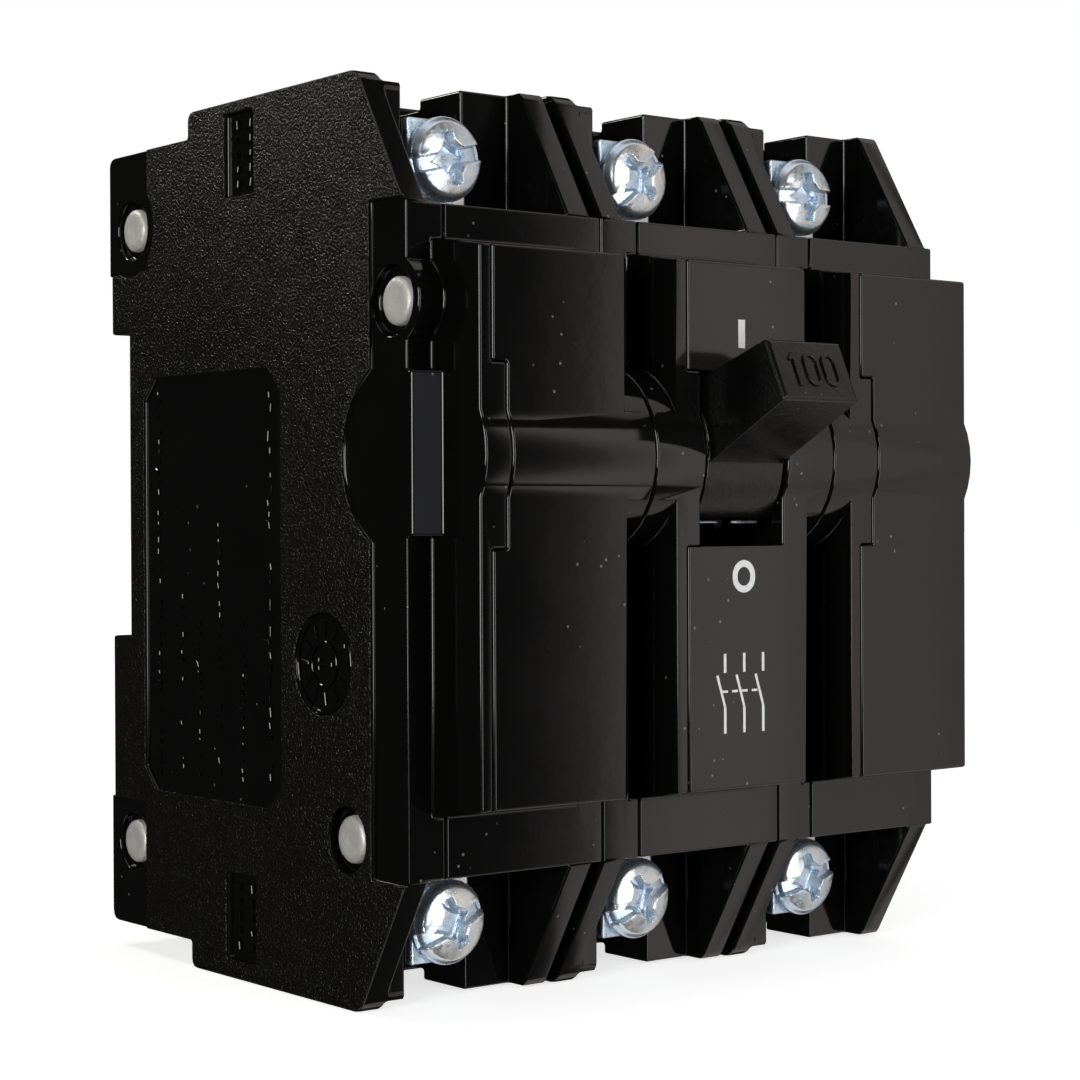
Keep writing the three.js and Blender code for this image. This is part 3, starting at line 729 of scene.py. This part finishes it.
def dial_marks(bm, origin, n):
    """Two rings, twelve spokes and an arrow."""
    centre = origin + (Y_AXIS * DIAL_AT[0] + Z_AXIS * DIAL_AT[1]) * MM
    face = Face(centre, Y_AXIS, Z_AXIS, n)
    for outer, inner in DIAL_RINGS:
        face.ring_slab(bm, circle(outer), circle(inner), 0.22)
    for angle in turns(12):
        u = Y_AXIS * math.cos(angle) + Z_AXIS * math.sin(angle)
        v = Z_AXIS * math.cos(angle) - Y_AXIS * math.sin(angle)
        Face(centre, u, v, n).slab(bm, DIAL_SPOKE, 0.2)
    face.slab(bm, DIAL_ARROW, 0.2)


def label_marks(bm, origin, n, rng):
    """Rows of uneven dashes with a gap here and there."""
    face = Face(origin, Y_AXIS, Z_AXIS, n)
    for y, half, top, bottom in LABEL_ROWS:
        z = top
        while z > bottom:
            size = rng.uniform(0.3, 0.75) * (half / 0.5)
            if rng.random() < 0.8:
                lean = rng.uniform(-0.22, 0.22)
                wide = half * rng.uniform(0.45, 1.0)
                middle = y + rng.uniform(-0.2, 0.2)
                dash = [
                    (middle - wide, z - size), (middle + wide, z - size + lean),
                    (middle + wide + lean, z + lean), (middle - wide + lean, z),
                ]
                face.slab(bm, dash, 0.16)
            z -= size + rng.uniform(0.4, 0.7)


def end_marks(bm, origin, n, rng):
    """Two columns of five dots in the recess at each end."""
    face = Face(origin, Y_AXIS, Z_AXIS, n)
    for middle, height in END_MARKS_AT:
        for k in range(-2, 3):
            for side in (-1, 1):
                y = middle + side * 1.3
                z = height + k * 1.6
                lean = rng.uniform(-0.25, 0.25)
                tall = rng.uniform(0.3, 0.5)
                dot = [
                    (y - 0.6, z - tall), (y + 0.6, z - tall + lean),
                    (y + 0.6 + lean, z + tall), (y - 0.6 + lean, z + tall),
                ]
                face.slab(bm, dot, 0.3)


def side_marks(name, sign):
    """Moulded marks on an outer side: date dial, label rows and end marks, all plain shapes."""
    n = X_AXIS * sign
    rng = random.Random(7)
    bm = bmesh.new()
    dial_marks(bm, at(sign * SUNK_X, 0, 0), n)
    label_marks(bm, at(sign * SUNK_X, 0, 0), n, rng)
    end_marks(bm, at(sign * (SUNK_X - END_MARKS_DEEPER), 0, 0), n, rng)
    bmesh.ops.recalc_face_normals(bm, faces=bm.faces)
    obj = piece(name, bm, "root", MATERIALS["moulding"], smooth=False)
    add_soft_edges(obj, 0.06 * MM, 1)


def drum_wire():
    """A plated wire along the drum's lower edge: one leg on each side of the toggle link."""
    wire_r, reach, spans, clear, inset = 0.16, 8.64, 14, 0.5, 0.1
    bead_x, bead_wide, bead = 2.6, 0.6, 0.5
    low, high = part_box("handle_lever")
    link_low, link_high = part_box("toggle_link_2")
    fall = math.asin((HANDLE_AXIS.z - low.z) / MM / reach)
    edge = HANDLE_AXIS + Vector((0, -math.cos(fall), -math.sin(fall))) * reach * MM
    legs = (
        (low.x / MM + inset, link_low.x / MM - clear),
        (link_high.x / MM + clear, high.x / MM - inset),
    )
    bm = bmesh.new()
    for left, right in legs:
        rings = []
        for k in range(spans + 1):
            x = left + (right - left) * k / spans
            r = wire_r * (1 + bead * math.exp(-((x - bead_x) / bead_wide) ** 2))
            centre = Vector((x * MM, edge.y, edge.z))
            rings.append(add_ring(bm, [
                centre + Vector((0, math.cos(a), math.sin(a))) * r * MM for a in turns(16)]))
        for first, second in zip(rings, rings[1:]):
            bridge(bm, first, second)
        bm.faces.new(list(reversed(rings[0])))
        bm.faces.new(rings[-1])
    bmesh.ops.recalc_face_normals(bm, faces=bm.faces)
    piece("drum_wire", bm, "handle", MATERIALS["zinc"])


rating_number()
printed_marks()
drum_wire()
side_marks("side_marks_left", -1)
side_marks("side_marks_right", 1)


# ---------------------------------------------------------------- camera, lights, stage
camera_data = bpy.data.cameras.new("camera")
camera = placed_object("camera", camera_data)
camera.location = at(-176.9, -260.0, 2.25)
camera.rotation_euler = Euler([math.radians(a) for a in (89.509, 0.230, -38.085)])
camera_data.sensor_width = 36
camera_data.lens = 81.84
bpy.context.scene.camera = camera


def around(azimuth, elevation, distance):
    """A place round the object: azimuth in degrees from the front towards +X."""
    turn, rise = math.radians(azimuth), math.radians(elevation)
    flat = distance * math.cos(rise)
    return (flat * math.sin(turn), -flat * math.cos(turn), distance * math.sin(rise))


WARM = (1.0, 0.925, 0.895)
COOL = (0.95, 0.98, 1.0)
BLUISH = (0.80, 0.82, 1.0)
DAYLIGHT = (1.0, 0.99, 0.96)
SUNNY = (1.0, 0.98, 0.90)
ORIGIN = (0, 0, 0)
LEFT_SIDE = (-0.038, 0, 0.01)
LIGHTS = (                          # name, place, target, size, watts, colour
    ("key", around(58.5, 0, 1.0), ORIGIN, (0.42, 2.4), 2.1, WARM),
    ("key_edge", around(41.5, 0, 1.0), ORIGIN, (0.174, 0.9), 0.40, WARM),
    ("strip", around(39.75, 0, 1.0), ORIGIN, (0.065, 0.9), 0.05, WARM),
    ("fade", around(35.7, 0, 1.0), ORIGIN, (0.031, 0.9), 0.016, WARM),
    ("upper", around(88, 50, 1.0), ORIGIN, (0.44, 0.6), 0.6, WARM),
    ("lower", around(88, -52, 1.0), ORIGIN, (0.44, 0.6), 0.6, WARM),
    ("front", around(12, 0, 1.0), ORIGIN, (0.26, 0.9), 4.0, COOL),
    ("cheek", around(-9, 0, 1.0), ORIGIN, (0.16, 0.6), 0.14, BLUISH),
    ("left", around(-60, 6, 0.6), LEFT_SIDE, (0.26, 0.26), 1.9, DAYLIGHT),
    ("spark", (-0.085, 0.075, 0.11), (-0.038, -0.02, 0.03), (0.02, 0.02), 0.036, SUNNY),
)
for name, place, target, size, watts, color in LIGHTS:
    data = bpy.data.lights.new(name, "AREA")
    data.shape = "RECTANGLE"
    data.size, data.size_y = size
    data.energy = watts
    data.color = color
    light = placed_object(name, data)
    light.location = place
    light.visible_camera = False
    light.rotation_euler = (Vector(target) - Vector(place)).to_track_quat("-Z", "Y").to_euler()


def studio_world():
    """White to the camera; to everything else dim round the horizon and bright above and below."""
    world = bpy.data.worlds.new("studio")
    bpy.context.scene.world = world
    world.use_nodes = True
    nodes, links = world.node_tree.nodes, world.node_tree.links
    background = nodes["Background"]
    seen = nodes.new("ShaderNodeLightPath")
    direction = nodes.new("ShaderNodeTexCoord")
    split = nodes.new("ShaderNodeSeparateXYZ")
    links.new(direction.outputs["Generated"], split.inputs["Vector"])
    height = nodes.new("ShaderNodeMath")
    height.operation = "ABSOLUTE"
    links.new(split.outputs["Z"], height.inputs[0])
    glow = nodes.new("ShaderNodeMapRange")
    glow.interpolation_type = "SMOOTHSTEP"
    glow.inputs["From Min"].default_value = 0.86
    glow.inputs["From Max"].default_value = 0.97
    glow.inputs["To Min"].default_value = 0.02
    glow.inputs["To Max"].default_value = 0.9
    links.new(height.outputs["Value"], glow.inputs["Value"])
    strength = nodes.new("ShaderNodeMix")
    links.new(seen.outputs["Is Camera Ray"], strength.inputs["Factor"])
    links.new(glow.outputs["Result"], strength.inputs["A"])
    strength.inputs["B"].default_value = 1.0
    links.new(strength.outputs["Result"], background.inputs["Strength"])
    background.inputs["Color"].default_value = (1, 1, 1, 1)


def floor():
    """A pale floor that glows a little, so that it runs into the white behind the object."""
    bm = bmesh.new()
    bmesh.ops.create_grid(bm, x_segments=1, y_segments=1, size=6.0)
    obj = mesh_object("floor", bm)
    obj.location = (0, 0, CAD_LOW.z)
    obj.visible_glossy = False
    obj.visible_diffuse = False
    obj.visible_shadow = False
    look = Look("floor", (0.9, 0.9, 0.9), 0.9)
    look.color(look.mix(look.noise(30, 2.0), (0.88, 0.88, 0.88), (0.92, 0.92, 0.92)))
    look.shader.inputs["Specular IOR Level"].default_value = 0.0
    look.shader.inputs["Emission Color"].default_value = (1, 1, 1, 1)
    away = look.nodes.new("ShaderNodeVectorMath")
    away.operation = "LENGTH"
    look.links.new(look.coords, away.inputs[0])
    glow = look.ramp(away.outputs["Value"], 0.05, 0.5, 0.72, 1.0)
    look.feed(look.shader.inputs["Emission Strength"], glow)
    obj.data.materials.append(look.material)


studio_world()
floor()
bpy.context.scene.view_settings.view_transform = "Standard"
